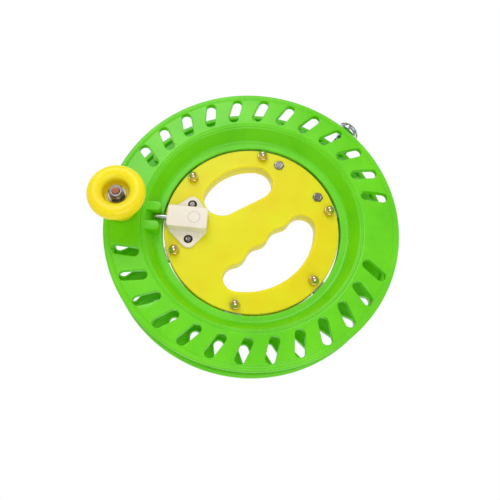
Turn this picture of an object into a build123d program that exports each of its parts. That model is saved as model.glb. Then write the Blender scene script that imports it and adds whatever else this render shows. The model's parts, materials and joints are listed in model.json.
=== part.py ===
from build123d import *
from math import cos, sin, radians, hypot
import os

# Hand-held kite line winder, in millimetres.
# The spin axis is +Z, the front faces up, and the origin is the centre of the
# handle's back face. The lock and the crank knob lie on -X.
# The green wheel of two half shells runs on six ball bearings round the yellow
# hub, which has a palm opening and a finger opening with a handle between them.

# ---------------------------------------------------------------- dimensions

# hub discs
hub_gap = 1.3                # between the discs and the wheel's ring
hub_wall = 1.9               # thickness of a disc
hub_half_gap = 2.7           # mid-plane to the inner face of a disc
hub_edge_round = 0.8
mid_height = 8.0             # mid-plane of the wheel above the handle's back face
collar_wall = 2.4            # wall round each hand opening
grip_margin = 0.5            # grip plateau beyond the widest collar
opening_round = 1.2          # rounded edge of the hand openings

# bearings and their bolts
bearing_bore = 4.0
bearing_outside = 16.0
bearing_width = 5.0
bearing_circle = 61.3        # radius of the bolt circle
inner_ring_wall = 2.1
outer_ring_wall = 1.65
ball_play = 0.02
balls_in_bearing = 7
shield_wall = 0.25
bearing_spread = 34.0        # first bolt either side of the line guide, degrees
bearing_angles = (90.0, 150.0)   # the others, from the line guide, degrees
bolt_clearance = 0.1
bolt_head_radius = 3.5
bolt_head_height = 2.6
acorn_across = 7.0           # across flats
acorn_hex_height = 3.4
acorn_neck = 1.2             # straight part between the hexagon and the dome
acorn_dome_radius = 3.25

# wheel shells
wheel_radius = 110.0
wheel_half_width = 17.65     # mid-plane to the front of a lip
lip_width = 4.5
lip_depth = 5.0
lip_round = 2.1
flange_step = 0.25           # flange face below the front of the lip
shell_wall = 2.2
ring_lap = 1.3               # the ring's inside reaches in past the bearings
ring_width = 5.7             # from the ring's inside to the foot of the funnel
funnel_run = 6.7             # radially, from its foot to its mouth
ring_height = 5.5            # face of the ring above the mid-plane
ring_wall = 2.6
race_play = 0.1              # bearing to race, radially
drum_step = 3.1              # floor of the line groove outside the funnel's foot
mouth_round = 1.4
throat_round = 2.5
bead_width = 2.4             # raised bead round the mouth
bead_height = 0.35

# slots in the flanges
slot_margin = 4.9            # flange width less the slots' length
slot_width = 7.5
slot_lean = 21.9             # from the radius, degrees
slot_pitch = 12.0            # degrees
slot_first = 19.06           # first slot, degrees from +X
slots_above = 12             # run of slots before the knob
slots_below = 13             # run of slots after it
slots_blank = 3              # places left plain under the knob
rear_turn = 172.06           # rear slots are the front ones mirrored, at this angle less theirs

# screws that join the two wheel shells
rim_screw_count = 10
rim_screw_inset = 5.3        # from the ring's inside
rim_screw_radius = 1.25
rim_head_radius = 2.2
rim_head_height = 1.7
rim_screw_seat = 3.0         # below the mid-plane
rim_screw_bite = 4.2         # into the front shell
core_width = 2.4             # hollows between the screws
core_depth = 3.2
core_span = 22.0             # degrees

# catch for the lock pin on the front shell
prong_spacing = 15.4
prong_width = 7.0
prong_setback = 1.0          # tips from the ring's inside
prong_height = 17.0          # above the mid-plane
prong_turn = 1.4             # degrees past the lock, so that the upper prong bears on the pin

# crank knob
knob_inset = 13.2            # from the wheel's outside
knob_length = 34.1
knob_base_radius = 10.3
knob_rim_radius = 20.3
knob_crest_radius = 15.1     # highest circle of the front
knob_crest_drop = 5.2        # rim below the crest
knob_lip_radius = 11.0       # where the front turns down into the recess
knob_recess_radius = 9.2
knob_recess_depth = 9.6
knob_play = 0.06             # bore on the bolt, radially
knob_gap = 0.1               # between the knob and what holds it, endways
knob_bolt_radius = 3.0
knob_head_radius = 6.0
knob_head_height = 2.0
knob_boss_radius = 8.6
knob_washer_radius = 6.2
knob_washer_wall = 1.2
base_washer_radius = 8.0
base_washer_wall = 0.6
nut_across = 10.0
nut_hex_height = 4.4
nut_collar_radius = 4.6
nut_collar_height = 1.6

# lock on the front disc
lock_height = 12.0           # top of the housing above the disc
lock_inset = 2.7             # outer end from the edge of the disc
lock_length = 30.2
lock_width = 17.0
lock_wall = 1.8
lock_side_wall = 3.0
lock_lug_height = 2.2
lock_ear_radius = 6.0
lock_ear_x = 17.1             # from the outer end
lock_ear_y = 14.8
lock_screw_y = 14.15
lock_screw_radius = 1.5
lock_screw_head_radius = 3.3
lock_screw_head_height = 1.2
lock_screw_bite = 5.5
pin_height = 10.15           # above the mid-plane
pin_radius = 2.1
pin_grip = 5.8               # pin past the tips of the prongs, when locked
pin_nose = 2.6               # length of the taper
pin_tip_radius = 1.1
pin_travel = 6.0
button_travel = 3.0
button_inset = 20.1          # from the outer end of the housing
button_radius = 4.4
button_flange_radius = 4.9
button_flange_wall = 1.2
button_proud = 0.2
slide_play = 0.1
foot_width = 5.0
ramp_overlap = 0.4
spring_wire = 0.45
spring_coil_radius = 1.4     # to the middle of the wire
spring_turns = 7

# line guide
guide_angle = 53.0           # from +X, degrees
guide_bolt_inset = 8.5       # from the edge of the disc
guide_bolt_spread = 20.2     # degrees either side
guide_bolt_radius = 2.0
guide_head_radius = 3.5
guide_head_height = 2.5
guide_nut_across = 7.0
guide_nut_height = 3.2
guide_nut_proud = 0.8
strap_wall = 2.0
strap_width = 16.0
strap_gap = 0.75             # behind the rear flange
strap_bend = 4.0
guide_standoff = 8.7         # middle of the guide ring from the wheel's outside
guide_ring_radius = 9.0
guide_ring_width = 6.5
guide_eye_radius = 3.0
guide_waist_radius = 5.6

# outline of the hand openings, in a frame that lies along the handle
grip_angle = 46.3            # handle's direction from +X, degrees
palm_radius = 41.2
palm_centre = (8.0, 8.0)
palm_edge = 19.1             # straight side, from the spin axis
palm_edge_tilt = -12.3       # degrees
palm_corner = 14.0
finger_radius = 54.3
finger_centre = (-1.2, 7.1)
finger_corner = 10.5
finger_pitch = 21.6          # from one finger to the next
finger_edge = -14.4          # crests between the fingers
finger_hollow = 3.0          # depth of a finger's hollow
finger_end_hollow = 5.6

# ------------------------------------------------------------ derived places

front_inner = mid_height + hub_half_gap
front_face = front_inner + hub_wall
rear_inner = mid_height - hub_half_gap
rear_face = rear_inner - hub_wall
bearing_half = bearing_width / 2
pad_radius = bearing_bore / 2 + inner_ring_wall - 0.2

race_radius = bearing_circle + bearing_outside / 2 + race_play
ring_radius = bearing_circle + bearing_outside / 2 - ring_lap
hub_radius = ring_radius - hub_gap
throat_radius = ring_radius + ring_width
mouth_radius = throat_radius + funnel_run
drum_radius = throat_radius + drum_step
rim_screw_circle = ring_radius + rim_screw_inset
prong_tip = ring_radius + prong_setback
channel_half = ring_height - ring_wall
flange_face = wheel_half_width - flange_step
flange_back = flange_face - shell_wall
funnel_slope = (mouth_radius - throat_radius) / (flange_face - ring_height)
wall_offset = shell_wall * hypot(1, funnel_slope)
drum_height = (drum_radius - throat_radius - wall_offset) / funnel_slope + ring_height
back_mouth = throat_radius + wall_offset + (flange_back - ring_height) * funnel_slope
lip_inner = wheel_radius - lip_width
slot_length = lip_inner - mouth_radius - slot_margin
slot_circle = lip_inner - slot_length / 2
knob_circle = wheel_radius - knob_inset
guide_reach = wheel_radius + guide_standoff
guide_bolt_circle = hub_radius - guide_bolt_inset

pin_level = mid_height + pin_height
lock_floor = front_face
lock_top = lock_floor + lock_height
lock_ceiling = lock_top - lock_wall
lock_outer_end = hub_radius - lock_inset
lock_inner_end = lock_outer_end - lock_length
lock_screw_x = lock_outer_end - lock_ear_x
button_x = lock_outer_end - button_inset
pin_reach = prong_tip + pin_grip
cavity_outer = lock_outer_end - lock_wall
cavity_inner = lock_inner_end + lock_wall
cavity_width = lock_width - 2 * lock_side_wall

guide_plane = Plane(
    origin=(0, 0, 0),
    x_dir=(cos(radians(guide_angle)), sin(radians(guide_angle)), 0),
    z_dir=(sin(radians(guide_angle)), -cos(radians(guide_angle)), 0),
)
guide_turn = Location((0, 0, 0), (0, 0, guide_angle))
grip_flat = Plane.XY.rotated((0, 0, grip_angle))

bearing_turns = [sign * a for a in (bearing_spread,) + bearing_angles for sign in (1, -1)]
bearing_points = [
    (bearing_circle * cos(radians(guide_angle + a)), bearing_circle * sin(radians(guide_angle + a)))
    for a in bearing_turns
]
guide_bolt_points = [
    (
        guide_bolt_circle * cos(radians(guide_angle + s * guide_bolt_spread)),
        guide_bolt_circle * sin(radians(guide_angle + s * guide_bolt_spread)),
    )
    for s in (1, -1)
]
lock_ear_points = [(-lock_screw_x, lock_ear_y), (-lock_screw_x, -lock_ear_y)]
lock_screw_points = [(-lock_screw_x, lock_screw_y), (-lock_screw_x, -lock_screw_y)]

# hub
bolt_slack = 0.02
screw_play = 0.05
acorn_bite = 5.0
grip_radius = hypot(*palm_centre) + palm_radius + collar_wall + grip_margin
inner_land = bearing_bore / 2 + inner_ring_wall
outer_land = bearing_outside / 2 - outer_ring_wall
shield_gap = 0.1
pocket_radius = bearing_outside / 2 + 0.35
guide_boss_radius = 5.4
nut_pocket_play = 0.15
guide_nut_seat = front_face + guide_nut_proud - guide_nut_height
lock_boss_radius = 3.2
lock_head_seat = lock_floor + 0.9
lock_screw_end = front_face - lock_screw_bite
lock_boss_end = lock_screw_end - 1.0
guide_bolt_reach = guide_bolt_circle * cos(radians(guide_bolt_spread))
pad_corner = 4.6
pad_middle = guide_bolt_reach
pad_end = pad_middle + 8.9
relief_start = guide_bolt_reach - pad_corner - 1.5
relief_half = guide_bolt_circle * sin(radians(guide_bolt_spread)) + pad_corner + 1.5
prong_root = 1.0
prong_run = 2 * (mouth_radius - prong_tip)

# knob
knob_side = Plane(origin=(-knob_circle, 0, 0), x_dir=(1, 0, 0), z_dir=(0, -1, 0))
knob_base = mid_height + wheel_half_width + base_washer_wall + knob_gap
knob_front = knob_base + knob_length
knob_seat = knob_front - knob_recess_depth
knob_nut_seat = knob_seat + knob_gap + knob_washer_wall
knob_nut_top = knob_nut_seat + nut_hex_height + nut_collar_height
knob_bolt_end = knob_nut_top + 0.5
knob_base_round = 0.8
knob_collar_length = 2.5
knob_waist_radius = 13.6

# lock
button_point = [(-button_x, 0)]
lock_corner = 2.0
lock_edge = 1.0
button_edge = 0.4
ramp_ratio = pin_travel / button_travel
button_foot_top = lock_ceiling - slide_play - button_flange_wall
foot_back = -(button_x + button_radius + slide_play)
foot_front = foot_back + 0.6
foot_tip = 17.9
slider_low = lock_floor + 2 * slide_play
slider_high = pin_level + pin_radius + 0.75
slider_outer = -(cavity_outer - slide_play / 2)
slider_step = -(button_x + button_flange_radius + 2 * slide_play) - pin_travel
ramp_low = foot_tip - button_travel - 2 * slide_play
ramp_high = foot_tip + ramp_overlap
ramp_foot = foot_front + slide_play / 2 + (ramp_low - foot_tip) * ramp_ratio
ramp_top = foot_front + slide_play / 2 + (ramp_high - foot_tip) * ramp_ratio
slider_inner = -(cavity_inner + pin_travel + 3 * slide_play)
spring_play = 0.2
spring_level = 15.3
spring_start = slider_inner - 6.0
spring_end = -cavity_inner

# guide
strap_level = mid_height - wheel_half_width - strap_gap - strap_wall / 2
strap_foot = mouth_radius - 3.4
guide_ring_round = 2.0
guide_play = 0.04
eye_plane = Plane(
    origin=(guide_reach * cos(radians(guide_angle)), guide_reach * sin(radians(guide_angle)), mid_height),
    z_dir=(cos(radians(guide_angle)), sin(radians(guide_angle)), 0),
)

os.makedirs("parts", exist_ok=True)


def save(piece, name):
    """Label a finished piece and write it."""
    piece.part.label = name
    export_step(piece.part, f"parts/{name}.step")


def on(height):
    """Level sketch plane at a height."""
    return Plane.XY.offset(height)


def cylinders(radius, low, high, at=((0, 0),), mode=Mode.ADD):
    """Upright cylinders between two heights, in the part being built."""
    with BuildSketch(on(low)) as outline:
        with Locations(*at):
            Circle(radius)
    extrude(outline.sketch, amount=high - low, mode=mode)


def rings(inner, outer, low, high, at=((0, 0),)):
    """Upright rings between two heights, in the part being built."""
    with BuildSketch(on(low)) as outline:
        with Locations(*at):
            Circle(outer)
            Circle(inner, mode=Mode.SUBTRACT)
    extrude(outline.sketch, amount=high - low)


def hexagons(across, low, high, at, mode=Mode.ADD):
    """Upright hexagonal prisms between two heights, in the part being built."""
    with BuildSketch(on(low)) as outline:
        with Locations(*at):
            RegularPolygon(across / 2, 6, major_radius=False)
    extrude(outline.sketch, amount=high - low, mode=mode)


def raised(outline, low, high, mode=Mode.ADD):
    """A level outline taken from one height to another, in the part being built."""
    extrude(outline.moved(Location((0, 0, low))), amount=high - low, mode=mode)


# ------------------------------------------------------------- hand openings


def palm_opening(grow=0.0):
    """Rounded D for the palm: a disc cut by a straight side, corners rounded."""
    with BuildSketch(grip_flat) as outline:
        with Locations(palm_centre):
            Circle(palm_radius + grow)
        with Locations(Location((0, palm_edge - grow, 0), (0, 0, palm_edge_tilt))):
            Rectangle(4 * palm_radius, 4 * palm_radius, align=(Align.CENTER, Align.MAX), mode=Mode.SUBTRACT)
        fillet(outline.vertices(), palm_corner + grow)
    return outline.sketch


def finger_opening(grow=0.0):
    """Bean for four fingers: a disc cut by a wave with a hollow for each finger."""
    crest = finger_edge + grow
    hollow = crest + finger_hollow
    end = crest + finger_end_hollow
    wide = finger_radius + finger_corner
    half = [(finger_pitch / 2, hollow), (finger_pitch, crest), (finger_pitch * 1.7, end), (wide, end)]
    wave = [(-x, y) for x, y in reversed(half)] + [(0, crest)] + half
    with BuildSketch(grip_flat) as outline:
        with Locations(finger_centre):
            Circle(finger_radius + grow)
        with BuildLine():
            edge = Spline(*wave, tangents=((1, 0), (1, 0)))
            Polyline(edge @ 1, (wide, wide), (-wide, wide), edge @ 0)
        make_face(mode=Mode.SUBTRACT)
        fillet(outline.vertices(), finger_corner + grow)
    return outline.sketch


palm = palm_opening()
fingers = finger_opening()
collars = [palm_opening(collar_wall), finger_opening(collar_wall)]

# ----------------------------------------------------------------- hub discs

with BuildPart() as front_disc:
    cylinders(hub_radius, front_inner, front_face)
    cylinders(guide_boss_radius, rear_inner, front_inner, guide_bolt_points)
    cylinders(lock_boss_radius, lock_boss_end, front_inner, lock_screw_points)
    for collar in collars:
        raised(collar, mid_height, front_inner)
    cylinders(pocket_radius, mid_height, front_inner, bearing_points, Mode.SUBTRACT)
    cylinders(pad_radius, mid_height + bearing_half, front_inner, bearing_points)
    for opening in (palm, fingers):
        raised(opening, mid_height, front_face, mode=Mode.SUBTRACT)
    top = front_disc.faces().sort_by(Axis.Z)[-1]
    fillet([edge for wire in top.inner_wires() for edge in wire.edges()], opening_round)
    fillet(front_disc.faces().sort_by(Axis.Z)[-1].outer_wire().edges(), hub_edge_round)
    cylinders(bearing_bore / 2 + bolt_clearance, mid_height, front_face, bearing_points, Mode.SUBTRACT)
    cylinders(guide_bolt_radius + bolt_clearance, rear_inner, front_face, guide_bolt_points, Mode.SUBTRACT)
    hexagons(
        guide_nut_across + 2 * nut_pocket_play,
        guide_nut_seat,
        front_face,
        guide_bolt_points,
        Mode.SUBTRACT,
    )
    cylinders(
        lock_screw_radius + screw_play,
        lock_screw_end - screw_play,
        front_face,
        lock_screw_points,
        Mode.SUBTRACT,
    )
save(front_disc, "front_disc")

with BuildPart() as rear_disc:
    cylinders(hub_radius, rear_face, rear_inner)
    fillet(rear_disc.faces().sort_by(Axis.Z)[0].edges(), hub_edge_round)
    cylinders(grip_radius, 0, rear_inner)
    with BuildSketch() as relief:
        with Locations(guide_turn):
            with Locations((relief_start, 0)):
                Rectangle(hub_radius, 2 * relief_half, align=(Align.MIN, Align.CENTER))
    raised(relief.sketch, 0, rear_face, mode=Mode.SUBTRACT)
    with BuildSketch() as hollow:
        Circle(grip_radius - collar_wall)
        with Locations(guide_turn):
            with Locations((relief_start - collar_wall, 0)):
                Rectangle(
                    hub_radius,
                    2 * (relief_half + collar_wall),
                    align=(Align.MIN, Align.CENTER),
                    mode=Mode.SUBTRACT,
                )
    raised(hollow.sketch, hub_wall, rear_inner, mode=Mode.SUBTRACT)
    for collar in collars:
        raised(collar, 0, mid_height)
    cylinders(pocket_radius, rear_inner, mid_height, bearing_points, Mode.SUBTRACT)
    for opening in (palm, fingers):
        raised(opening, 0, mid_height, mode=Mode.SUBTRACT)
    back = rear_disc.faces().sort_by(Axis.Z)[0]
    fillet([edge for wire in back.inner_wires() for edge in wire.edges()], opening_round)
    cylinders(pad_radius, rear_inner, mid_height - bearing_half, bearing_points)
    cylinders(bearing_bore / 2 + bolt_clearance, rear_face, mid_height, bearing_points, Mode.SUBTRACT)
    cylinders(guide_bolt_radius + bolt_clearance, rear_face, rear_inner, guide_bolt_points, Mode.SUBTRACT)
save(rear_disc, "rear_disc")

# ------------------------------------------------- bearings and their bolts

with BuildPart() as hub_bolts:
    cylinders(bolt_head_radius, rear_face - bolt_head_height, rear_face, bearing_points)
    fillet(hub_bolts.faces().filter_by(Plane.XY).group_by(Axis.Z)[0].edges(), bolt_head_height / 3)
    cylinders(bearing_bore / 2 - bolt_slack, rear_face, front_face + acorn_bite, bearing_points)
save(hub_bolts, "hub_bolts")

with BuildPart() as acorn_nuts:
    hexagons(acorn_across, front_face, front_face + acorn_hex_height, bearing_points)
    for x, y in bearing_points:
        upright = Plane(origin=(x, y, front_face), x_dir=(1, 0, 0), z_dir=(0, -1, 0))
        with BuildSketch(upright) as dome:
            with BuildLine():
                side = Line((acorn_dome_radius, 0), (acorn_dome_radius, acorn_hex_height + acorn_neck))
                crown = TangentArc(side @ 1, (0, side.length + acorn_dome_radius), tangent=(0, 1))
                Polyline(crown @ 1, (0, 0), side @ 0)
            make_face()
        revolve(dome.sketch, axis=Axis((x, y, 0), (0, 0, 1)))
    thread_end = front_face + acorn_bite + bolt_clearance
    cylinders(bearing_bore / 2, front_face, thread_end, bearing_points, Mode.SUBTRACT)
save(acorn_nuts, "acorn_nuts")

with BuildPart() as bearing_inner_rings:
    rings(
        bearing_bore / 2,
        inner_land,
        mid_height - bearing_half,
        mid_height + bearing_half,
        bearing_points,
    )
save(bearing_inner_rings, "bearing_inner_rings")

with BuildPart() as bearing_balls:
    with Locations(*[(x, y, mid_height) for x, y in bearing_points]):
        with PolarLocations((inner_land + outer_land) / 2, balls_in_bearing):
            Sphere((outer_land - inner_land) / 2 - ball_play)
save(bearing_balls, "bearing_balls")

for number, point in enumerate(bearing_points, start=1):
    low = mid_height - bearing_half
    high = mid_height + bearing_half
    with BuildPart() as outer_ring:
        rings(outer_land, bearing_outside / 2, low, high, [point])
    save(outer_ring, f"bearing_{number}_outer_ring")
    with BuildPart() as shields:
        rings(inner_land + shield_gap, outer_land, low + shield_wall, low + 2 * shield_wall, [point])
        rings(inner_land + shield_gap, outer_land, high - 2 * shield_wall, high - shield_wall, [point])
    save(shields, f"bearing_{number}_shields")

# -------------------------------------------------------------- wheel shells


def shell_section():
    """Half section of the front wheel shell, from the mid-plane outwards."""
    bead_top = flange_face + bead_height
    bead_edge = mouth_radius + bead_width
    corners = [
        (race_radius, 0, 0),
        (race_radius, channel_half, 0),
        (ring_radius, channel_half, 0),
        (ring_radius, ring_height, 0),
        (throat_radius, ring_height, throat_round),
        (mouth_radius, bead_top, mouth_round),
        (bead_edge, bead_top, 0),
        (bead_edge + bead_height, flange_face, 0),
        (lip_inner + shell_wall, flange_face, 0),
        (lip_inner + shell_wall, flange_back, 0),
        (back_mouth, flange_back, mouth_round),
        (drum_radius, drum_height, 0),
        (drum_radius, 0, 0),
    ]
    with BuildSketch(Plane.XZ) as section:
        with BuildLine():
            FilletPolyline(
                *[(radius, mid_height + height) for radius, height, size in corners],
                radius=[size for radius, height, size in corners],
                close=True,
            )
        make_face()
        with Locations((wheel_radius - lip_width / 2, mid_height + wheel_half_width - lip_depth / 2)):
            RectangleRounded(lip_width, lip_depth, lip_round)
    return section.sketch


def slot_outline(side):
    """Leaning slots of one flange, in two runs with plain places between them."""
    second = slot_first + (slots_above + slots_blank) * slot_pitch
    with BuildSketch() as slots:
        for start, count in ((slot_first, slots_above), (second, slots_below)):
            span = (count - 1) * slot_pitch
            first = start if side > 0 else rear_turn - start - span
            with PolarLocations(slot_circle, count, first, span, endpoint=True):
                SlotOverall(slot_length, slot_width, rotation=-side * slot_lean)
    return slots.sketch


def core_outline():
    """Arc-shaped hollows between the screws that join the shells."""
    pitch = 360 / rim_screw_count
    with BuildSketch() as cores:
        for index in range(rim_screw_count):
            middle = (index + 1) * pitch
            start = middle - core_span / 2
            SlotArc(CenterArc((0, 0), rim_screw_circle, start, core_span, mode=Mode.PRIVATE), core_width)
    return cores.sketch


def rim_screw_places():
    """Centres of the screws that join the shells."""
    pitch = 360 / rim_screw_count
    turns = [radians((index + 0.5) * pitch) for index in range(rim_screw_count)]
    return [(rim_screw_circle * cos(a), rim_screw_circle * sin(a)) for a in turns]


rim_screw_points = rim_screw_places()
front_section = shell_section()

with BuildPart() as prongs:
    with BuildSketch(on(mid_height + ring_height - prong_root)):
        with Locations(Location((0, 0, 0), (0, 0, 180 + prong_turn))):
            for y in (prong_spacing / 2, -prong_spacing / 2):
                with Locations((prong_tip + prong_run / 2, y)):
                    SlotOverall(prong_run, prong_width)
    extrude(amount=prong_height - ring_height + prong_root)
    with BuildSketch(Plane.XZ):
        with BuildLine():
            skin = throat_radius + prong_root
            rise = prong_height + prong_root
            Polyline(
                (skin - 2 * prong_root * funnel_slope, mid_height + ring_height - 2 * prong_root),
                (skin + (rise - ring_height) * funnel_slope, mid_height + rise),
                (wheel_radius, mid_height + rise),
                (wheel_radius, mid_height + ring_height - 2 * prong_root),
                close=True,
            )
        make_face()
    revolve(axis=Axis.Z, mode=Mode.SUBTRACT)

with BuildPart() as front_shell:
    revolve(front_section, axis=Axis.Z)
    raised(slot_outline(1), mid_height + flange_back - 1, mid_height + flange_face + 1, mode=Mode.SUBTRACT)
    raised(core_outline(), mid_height, mid_height + core_depth, mode=Mode.SUBTRACT)
    cylinders(
        rim_screw_radius + screw_play,
        mid_height,
        mid_height + rim_screw_bite + screw_play,
        rim_screw_points,
        Mode.SUBTRACT,
    )
    add(prongs.part)
    cylinders(
        knob_boss_radius,
        mid_height + flange_back,
        mid_height + wheel_half_width,
        [(-knob_circle, 0)],
    )
    cylinders(
        knob_bolt_radius + bolt_clearance,
        mid_height,
        mid_height + wheel_half_width,
        [(-knob_circle, 0)],
        Mode.SUBTRACT,
    )
save(front_shell, "front_shell")

with BuildPart() as rear_shell:
    revolve(front_section.mirror(on(mid_height)), axis=Axis.Z)
    raised(slot_outline(-1), mid_height - flange_face - 1, mid_height - flange_back + 1, mode=Mode.SUBTRACT)
    raised(core_outline(), mid_height - core_depth, mid_height, mode=Mode.SUBTRACT)
    cylinders(rim_screw_radius + screw_play, 0, mid_height, rim_screw_points, Mode.SUBTRACT)
    cylinders(
        rim_head_radius + screw_play,
        mid_height - wheel_half_width,
        mid_height - rim_screw_seat,
        rim_screw_points,
        Mode.SUBTRACT,
    )
save(rear_shell, "rear_shell")

with BuildPart() as rim_screws:
    cylinders(rim_screw_radius, mid_height - rim_screw_seat, mid_height + rim_screw_bite, rim_screw_points)
    cylinders(
        rim_head_radius,
        mid_height - rim_screw_seat - rim_head_height,
        mid_height - rim_screw_seat,
        rim_screw_points,
    )
save(rim_screws, "rim_screws")

# --------------------------------------------------------------- crank knob

knob_point = [(-knob_circle, 0)]

with BuildPart() as knob:
    with BuildSketch(knob_side) as half:
        with BuildLine():
            bore = knob_bolt_radius + knob_play
            start = Line((bore, knob_base), (knob_base_radius - knob_base_round, knob_base))
            heel = RadiusArc(start @ 1, (knob_base_radius, knob_base + knob_base_round), -knob_base_round)
            collar_side = Line(heel @ 1, (knob_base_radius, knob_base + knob_collar_length))
            waist = (knob_waist_radius, (knob_base + knob_front) / 2 - 2)
            flank = ThreePointArc(collar_side @ 1, waist, (knob_rim_radius - 1.1, knob_front - 8.5))
            rim_top = (knob_rim_radius, knob_front - knob_crest_drop)
            under = TangentArc(flank @ 1, (knob_rim_radius, knob_front - 6.2), tangent=flank % 1)
            rim_side = Line(under @ 1, rim_top)
            over = TangentArc(rim_side @ 1, (knob_crest_radius, knob_front), tangent=(0, 1))
            brow = TangentArc(over @ 1, (knob_lip_radius, knob_front - 0.8), tangent=(-1, 0))
            lip = TangentArc(brow @ 1, (knob_recess_radius, knob_front - 3.2), tangent=brow % 1)
            Polyline(
                lip @ 1,
                (knob_recess_radius, knob_seat),
                (bore, knob_seat),
                start @ 0,
            )
        make_face()
    revolve(half.sketch, axis=Axis((-knob_circle, 0, 0), (0, 0, 1)))
save(knob, "knob")

with BuildPart() as knob_bolt:
    cylinders(
        knob_head_radius,
        mid_height + flange_back - knob_head_height,
        mid_height + flange_back,
        knob_point,
    )
    cylinders(knob_bolt_radius, mid_height + flange_back, knob_bolt_end, knob_point)
save(knob_bolt, "knob_bolt")

with BuildPart() as knob_base_washer:
    rings(
        knob_bolt_radius + bolt_clearance,
        base_washer_radius,
        mid_height + wheel_half_width,
        knob_base - knob_gap,
        knob_point,
    )
save(knob_base_washer, "knob_base_washer")

with BuildPart() as knob_washer:
    rings(
        knob_bolt_radius + bolt_clearance,
        knob_washer_radius,
        knob_seat + knob_gap,
        knob_nut_seat,
        knob_point,
    )
save(knob_washer, "knob_washer")

with BuildPart() as knob_nut:
    hexagons(nut_across, knob_nut_seat, knob_nut_seat + nut_hex_height, knob_point)
    cylinders(nut_collar_radius, knob_nut_seat + nut_hex_height, knob_nut_top, knob_point)
    fillet(knob_nut.faces().sort_by(Axis.Z)[-1].edges(), nut_collar_height / 2)
    cylinders(knob_bolt_radius + bolt_slack, knob_nut_seat, knob_nut_top, knob_point, Mode.SUBTRACT)
save(knob_nut, "knob_nut")

# ---------------------------------------------------------------------- lock

lock_middle = -(lock_outer_end + lock_inner_end) / 2

with BuildPart() as lock_housing:
    with BuildSketch(on(lock_floor)) as lugs:
        with Locations(*lock_ear_points):
            Circle(lock_ear_radius)
        with Locations((lock_middle, 0)):
            RectangleRounded(lock_length, lock_width, lock_corner)
        make_hull()
    extrude(amount=lock_lug_height)
    fillet(lock_housing.faces().sort_by(Axis.Z)[-1].edges(), lock_edge)
    with BuildSketch(on(lock_floor)):
        with Locations((lock_middle, 0)):
            RectangleRounded(lock_length, lock_width, lock_corner)
    extrude(amount=lock_height)
    fillet(lock_housing.faces().sort_by(Axis.Z)[-1].edges(), lock_edge)
    with Locations(((-cavity_outer - cavity_inner) / 2, 0, lock_floor)):
        Box(
            cavity_outer - cavity_inner,
            cavity_width,
            lock_ceiling - lock_floor,
            align=(Align.CENTER, Align.CENTER, Align.MIN),
            mode=Mode.SUBTRACT,
        )
    with BuildSketch(Plane.YZ.offset(-lock_outer_end)):
        with Locations((0, pin_level)):
            Circle(pin_radius + slide_play / 2)
    extrude(amount=lock_wall, mode=Mode.SUBTRACT)
    cylinders(button_radius + slide_play, lock_ceiling, lock_top, button_point, Mode.SUBTRACT)
    cylinders(
        lock_screw_radius + bolt_clearance,
        lock_floor,
        lock_floor + lock_lug_height,
        lock_screw_points,
        Mode.SUBTRACT,
    )
    cylinders(
        lock_screw_head_radius + bolt_clearance,
        lock_head_seat,
        lock_floor + lock_lug_height,
        lock_screw_points,
        Mode.SUBTRACT,
    )
save(lock_housing, "lock_housing")

with BuildPart() as lock_button:
    cylinders(button_radius, lock_ceiling - slide_play, lock_top + button_proud, button_point)
    fillet(lock_button.faces().sort_by(Axis.Z)[-1].edges(), button_edge)
    cylinders(button_flange_radius, button_foot_top, lock_ceiling - slide_play, button_point)
    with BuildSketch(Plane.XZ) as foot:
        with BuildLine():
            Polyline(
                (foot_back, button_foot_top),
                (foot_back, foot_tip),
                (foot_front, foot_tip),
                (foot_front + (button_foot_top - foot_tip) * ramp_ratio, button_foot_top),
                close=True,
            )
        make_face()
    extrude(foot.sketch, amount=foot_width / 2, both=True)
save(lock_button, "lock_button")

with BuildPart() as lock_slider:
    with BuildSketch(Plane.XZ) as side:
        with BuildLine():
            Polyline(
                (slider_outer, slider_low),
                (slider_outer, slider_high),
                (slider_step, slider_high),
                (slider_step, ramp_low),
                (ramp_foot, ramp_low),
                (ramp_top, ramp_high),
                (slider_inner, ramp_high),
                (slider_inner, slider_low),
                close=True,
            )
        make_face()
    extrude(side.sketch, amount=cavity_width / 2 - slide_play, both=True)
    with BuildSketch(Plane.YZ.offset(slider_outer)):
        with Locations((0, pin_level)):
            Circle(pin_radius)
    extrude(amount=slider_step - slider_outer, mode=Mode.SUBTRACT)
    with BuildSketch(Plane.YZ.offset(spring_start)):
        with Locations((0, spring_level)):
            Circle(spring_coil_radius + spring_wire / 2 + spring_play)
    extrude(amount=slider_inner - spring_start, mode=Mode.SUBTRACT)
save(lock_slider, "lock_slider")

with BuildPart() as lock_pin:
    with BuildSketch(Plane.XZ) as half_pin:
        with BuildLine():
            Polyline(
                (-pin_reach, pin_level),
                (-pin_reach, pin_level + pin_tip_radius),
                (pin_nose - pin_reach, pin_level + pin_radius),
                (slider_step, pin_level + pin_radius),
                (slider_step, pin_level),
                close=True,
            )
        make_face()
    revolve(half_pin.sketch, axis=Axis((0, 0, pin_level), (1, 0, 0)))
save(lock_pin, "lock_pin")

with BuildPart() as lock_spring:
    with BuildLine() as coil:
        Helix(
            pitch=(spring_end - spring_start - spring_wire) / spring_turns,
            height=spring_end - spring_start - spring_wire,
            radius=spring_coil_radius,
            center=(spring_start + spring_wire / 2, 0, spring_level),
            direction=(1, 0, 0),
        )
    with BuildSketch(Plane(origin=coil.line @ 0, z_dir=coil.line % 0)):
        Circle(spring_wire / 2)
    sweep()
save(lock_spring, "lock_spring")

with BuildPart() as lock_screws:
    cylinders(lock_screw_radius, lock_screw_end, lock_head_seat, lock_screw_points)
    cylinders(
        lock_screw_head_radius,
        lock_head_seat,
        lock_head_seat + lock_screw_head_height,
        lock_screw_points,
    )
    fillet(lock_screws.faces().filter_by(Plane.XY).group_by(Axis.Z)[-1].edges(), lock_screw_head_height / 3)
save(lock_screws, "lock_screws")

# ---------------------------------------------------------------- line guide

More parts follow.
